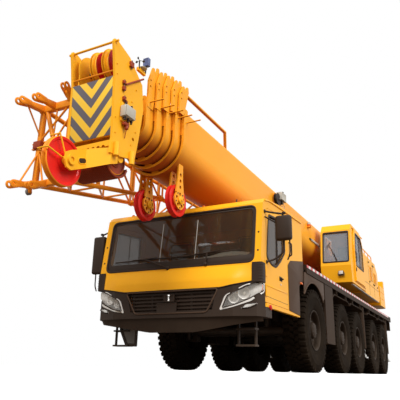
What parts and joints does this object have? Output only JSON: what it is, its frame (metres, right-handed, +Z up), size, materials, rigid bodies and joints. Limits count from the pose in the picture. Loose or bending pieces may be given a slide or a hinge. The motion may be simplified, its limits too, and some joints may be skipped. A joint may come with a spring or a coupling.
{
  "type": "mobile crane",
  "caption": "All-terrain mobile crane: driver's cab, slewing upper with operator's cab, nested telescopic boom with a stowed lattice jib, and outriggers.",
  "frame": {"origin": "on the ground under the middle of the machine", "axes": "+X forward, +Y to the driver's left, +Z up"},
  "size_m": [15.5599, 3.7, 4.3299],
  "materials": {
    "black_plastic": "textured black moulding",
    "cast_steel": "dark cast steel",
    "chassis_paint": "satin dark grey-brown enamel",
    "chromed_rod": "polished hard chrome",
    "dash_plastic": "grey moulded plastic",
    "lamp_lens": "clear lens",
    "orange_paint": "gloss orange enamel",
    "red_paint": "gloss red enamel",
    "seat_fabric": "dark woven seat cloth",
    "tyre_rubber": "matt black rubber",
    "window_glass": "lightly tinted glass",
    "yellow_paint": "gloss yellow enamel"
  },
  "bodies": {
    "carrier": {"chassis_frame": "chassis_paint", "deck_and_lockers": "chassis_paint", "drivetrain": "cast_steel", "cab_shell": "yellow_paint", "cab_glazing": "window_glass", "bumper_and_grille": "black_plastic", "headlamps": "lamp_lens", "cab_seats": "seat_fabric", "cab_dash": "dash_plastic"},
    "door_left": {"cab_door_left": "yellow_paint", "door_glass_left": "window_glass", "mirror_left": "black_plastic"},
    "door_right": {"cab_door_right": "yellow_paint", "door_glass_right": "window_glass", "mirror_right": "black_plastic"},
    "knuckle_1_left": {"knuckle_1_left": "cast_steel"},
    "wheel_1_left": {"wheel_1_left": "tyre_rubber"},
    "knuckle_1_right": {"knuckle_1_right": "cast_steel"},
    "wheel_1_right": {"wheel_1_right": "tyre_rubber"},
    "knuckle_2_left": {"knuckle_2_left": "cast_steel"},
    "wheel_2_left": {"wheel_2_left": "tyre_rubber"},
    "knuckle_2_right": {"knuckle_2_right": "cast_steel"},
    "wheel_2_right": {"wheel_2_right": "tyre_rubber"},
    "wheel_3_left": {"wheel_3_left": "tyre_rubber"},
    "wheel_3_right": {"wheel_3_right": "tyre_rubber"},
    "knuckle_4_left": {"knuckle_4_left": "cast_steel"},
    "wheel_4_left": {"wheel_4_left": "tyre_rubber"},
    "knuckle_4_right": {"knuckle_4_right": "cast_steel"},
    "wheel_4_right": {"wheel_4_right": "tyre_rubber"},
    "knuckle_5_left": {"knuckle_5_left": "cast_steel"},
    "wheel_5_left": {"wheel_5_left": "tyre_rubber"},
    "knuckle_5_right": {"knuckle_5_right": "cast_steel"},
    "wheel_5_right": {"wheel_5_right": "tyre_rubber"},
    "outrigger_front_left": {"outrigger_beam_front_left": "chassis_paint"},
    "jack_front_left": {"outrigger_jack_front_left": "chromed_rod"},
    "outrigger_front_right": {"outrigger_beam_front_right": "chassis_paint"},
    "jack_front_right": {"outrigger_jack_front_right": "chromed_rod"},
    "outrigger_rear_left": {"outrigger_beam_rear_left": "chassis_paint"},
    "jack_rear_left": {"outrigger_jack_rear_left": "chromed_rod"},
    "outrigger_rear_right": {"outrigger_beam_rear_right": "chassis_paint"},
    "jack_rear_right": {"outrigger_jack_rear_right": "chromed_rod"},
    "superstructure": {"turntable_frame": "yellow_paint", "counterweight": "yellow_paint", "winches": "cast_steel", "operator_cab": "yellow_paint", "operator_glazing": "window_glass", "operator_seat": "seat_fabric", "machinery_housing": "yellow_paint"},
    "operator_door": {"operator_door": "yellow_paint"},
    "boom": {"boom_base": "yellow_paint", "boom_rollers": "red_paint", "lattice_jib": "orange_paint"},
    "section_2": {"boom_section_2": "yellow_paint"},
    "section_3": {"boom_section_3": "yellow_paint"},
    "section_4": {"boom_section_4": "yellow_paint"},
    "section_5": {"boom_section_5": "yellow_paint"},
    "section_6": {"boom_head": "yellow_paint", "boom_sheaves": "red_paint"},
    "lift_barrel": {"lift_barrel": "yellow_paint"},
    "lift_rod": {"lift_rod": "chromed_rod"}
  },
  "joints": [
    {"name": "door_hinge_left", "type": "hinge", "parent": "carrier", "child": "door_left", "pos_m": [4.624, 1.462, 1.2], "axis": [0, 0, -1], "range_deg": [0, 70]},
    {"name": "door_hinge_right", "type": "hinge", "parent": "carrier", "child": "door_right", "pos_m": [4.624, -1.462, 1.2], "axis": [0, 0, 1], "range_deg": [0, 70]},
    {"name": "steer_1_left", "type": "hinge", "parent": "carrier", "child": "knuckle_1_left", "pos_m": [2.1, 1.185, 0.7465], "axis": [0, 0, 1], "range_deg": [-32, 32]},
    {"name": "spin_1_left", "type": "hinge", "parent": "knuckle_1_left", "child": "wheel_1_left", "pos_m": [2.1, 1.285, 0.7465], "axis": [0, 1, 0], "continuous": true},
    {"name": "steer_1_right", "type": "hinge", "parent": "carrier", "child": "knuckle_1_right", "pos_m": [2.1, -1.185, 0.7465], "axis": [0, 0, 1], "range_deg": [-32, 32]},
    {"name": "spin_1_right", "type": "hinge", "parent": "knuckle_1_right", "child": "wheel_1_right", "pos_m": [2.1, -1.285, 0.7465], "axis": [0, 1, 0], "continuous": true},
    {"name": "steer_2_left", "type": "hinge", "parent": "carrier", "child": "knuckle_2_left", "pos_m": [-0.2, 1.185, 0.7465], "axis": [0, 0, 1], "range_deg": [-24, 24]},
    {"name": "spin_2_left", "type": "hinge", "parent": "knuckle_2_left", "child": "wheel_2_left", "pos_m": [-0.2, 1.285, 0.7465], "axis": [0, 1, 0], "continuous": true},
    {"name": "steer_2_right", "type": "hinge", "parent": "carrier", "child": "knuckle_2_right", "pos_m": [-0.2, -1.185, 0.7465], "axis": [0, 0, 1], "range_deg": [-24, 24]},
    {"name": "spin_2_right", "type": "hinge", "parent": "knuckle_2_right", "child": "wheel_2_right", "pos_m": [-0.2, -1.285, 0.7465], "axis": [0, 1, 0], "continuous": true},
    {"name": "spin_3_left", "type": "hinge", "parent": "carrier", "child": "wheel_3_left", "pos_m": [-1.85, 1.285, 0.7465], "axis": [0, 1, 0], "continuous": true},
    {"name": "spin_3_right", "type": "hinge", "parent": "carrier", "child": "wheel_3_right", "pos_m": [-1.85, -1.285, 0.7465], "axis": [0, 1, 0], "continuous": true},
    {"name": "steer_4_left", "type": "hinge", "parent": "carrier", "child": "knuckle_4_left", "pos_m": [-4.05, 1.185, 0.7465], "axis": [0, 0, -1], "range_deg": [-15, 15]},
    {"name": "spin_4_left", "type": "hinge", "parent": "knuckle_4_left", "child": "wheel_4_left", "pos_m": [-4.05, 1.285, 0.7465], "axis": [0, 1, 0], "continuous": true},
    {"name": "steer_4_right", "type": "hinge", "parent": "carrier", "child": "knuckle_4_right", "pos_m": [-4.05, -1.185, 0.7465], "axis": [0, 0, -1], "range_deg": [-15, 15]},
    {"name": "spin_4_right", "type": "hinge", "parent": "knuckle_4_right", "child": "wheel_4_right", "pos_m": [-4.05, -1.285, 0.7465], "axis": [0, 1, 0], "continuous": true},
    {"name": "steer_5_left", "type": "hinge", "parent": "carrier", "child": "knuckle_5_left", "pos_m": [-5.7, 1.185, 0.7465], "axis": [0, 0, -1], "range_deg": [-20, 20]},
    {"name": "spin_5_left", "type": "hinge", "parent": "knuckle_5_left", "child": "wheel_5_left", "pos_m": [-5.7, 1.285, 0.7465], "axis": [0, 1, 0], "continuous": true},
    {"name": "steer_5_right", "type": "hinge", "parent": "carrier", "child": "knuckle_5_right", "pos_m": [-5.7, -1.185, 0.7465], "axis": [0, 0, -1], "range_deg": [-20, 20]},
    {"name": "spin_5_right", "type": "hinge", "parent": "knuckle_5_right", "child": "wheel_5_right", "pos_m": [-5.7, -1.285, 0.7465], "axis": [0, 1, 0], "continuous": true},
    {"name": "outrigger_slide_front_left", "type": "slide", "parent": "carrier", "child": "outrigger_front_left", "axis": [0, 1, 0], "range_m": [0, 2.1]},
    {"name": "jack_slide_front_left", "type": "slide", "parent": "outrigger_front_left", "child": "jack_front_left", "axis": [0, 0, -1], "range_m": [0, 0.39]},
    {"name": "outrigger_slide_front_right", "type": "slide", "parent": "carrier", "child": "outrigger_front_right", "axis": [0, -1, 0], "range_m": [0, 2.1]},
    {"name": "jack_slide_front_right", "type": "slide", "parent": "outrigger_front_right", "child": "jack_front_right", "axis": [0, 0, -1], "range_m": [0, 0.39]},
    {"name": "outrigger_slide_rear_left", "type": "slide", "parent": "carrier", "child": "outrigger_rear_left", "axis": [0, 1, 0], "range_m": [0, 2.1]},
    {"name": "jack_slide_rear_left", "type": "slide", "parent": "outrigger_rear_left", "child": "jack_rear_left", "axis": [0, 0, -1], "range_m": [0, 0.39]},
    {"name": "outrigger_slide_rear_right", "type": "slide", "parent": "carrier", "child": "outrigger_rear_right", "axis": [0, -1, 0], "range_m": [0, 2.1]},
    {"name": "jack_slide_rear_right", "type": "slide", "parent": "outrigger_rear_right", "child": "jack_rear_right", "axis": [0, 0, -1], "range_m": [0, 0.39]},
    {"name": "slew", "type": "hinge", "parent": "carrier", "child": "superstructure", "pos_m": [-2.8, 0, 1.995], "axis": [0, 0, 1], "continuous": true},
    {"name": "operator_door_slide", "type": "slide", "parent": "superstructure", "child": "operator_door", "axis": [-1, 0, 0], "range_m": [0, 0.9]},
    {"name": "boom_lift", "type": "hinge", "parent": "superstructure", "child": "boom", "pos_m": [-5.4, 0, 3.2], "axis": [0, -1, 0], "range_deg": [0, 80]},
    {"name": "telescope_2", "type": "slide", "parent": "boom", "child": "section_2", "axis": [1, 0, 0], "range_m": [0, 9]},
    {"name": "telescope_3", "type": "slide", "parent": "section_2", "child": "section_3", "axis": [1, 0, 0], "range_m": [0, 9]},
    {"name": "telescope_4", "type": "slide", "parent": "section_3", "child": "section_4", "axis": [1, 0, 0], "range_m": [0, 9]},
    {"name": "telescope_5", "type": "slide", "parent": "section_4", "child": "section_5", "axis": [1, 0, 0], "range_m": [0, 9]},
    {"name": "telescope_6", "type": "slide", "parent": "section_5", "child": "section_6", "axis": [1, 0, 0], "range_m": [0, 9]},
    {"name": "lift_barrel_hinge", "type": "hinge", "parent": "superstructure", "child": "lift_barrel", "pos_m": [-3.8, 0, 2.23], "axis": [0, -1, 0], "range_deg": [0, 84.83]},
    {"name": "lift_rod_slide", "type": "slide", "parent": "lift_barrel", "child": "lift_rod", "axis": [0.9889, 0, 0.1483], "range_m": [0, 2.389]}
  ],
  "couplings": [
    {"joint": "steer_1_right", "follows": "steer_1_left", "ratio": 1},
    {"joint": "steer_2_left", "follows": "steer_1_left", "ratio": 0.75},
    {"joint": "steer_2_right", "follows": "steer_1_left", "ratio": 0.75},
    {"joint": "steer_5_right", "follows": "steer_5_left", "ratio": 1},
    {"joint": "steer_4_left", "follows": "steer_5_left", "ratio": 0.75},
    {"joint": "steer_4_right", "follows": "steer_5_left", "ratio": 0.75},
    {"joint": "lift_barrel_hinge", "follows": "boom_lift", "ratio": 1.0566},
    {"joint": "lift_rod_slide", "follows": "boom_lift", "m_per_rad": 1.7074}
  ]
}
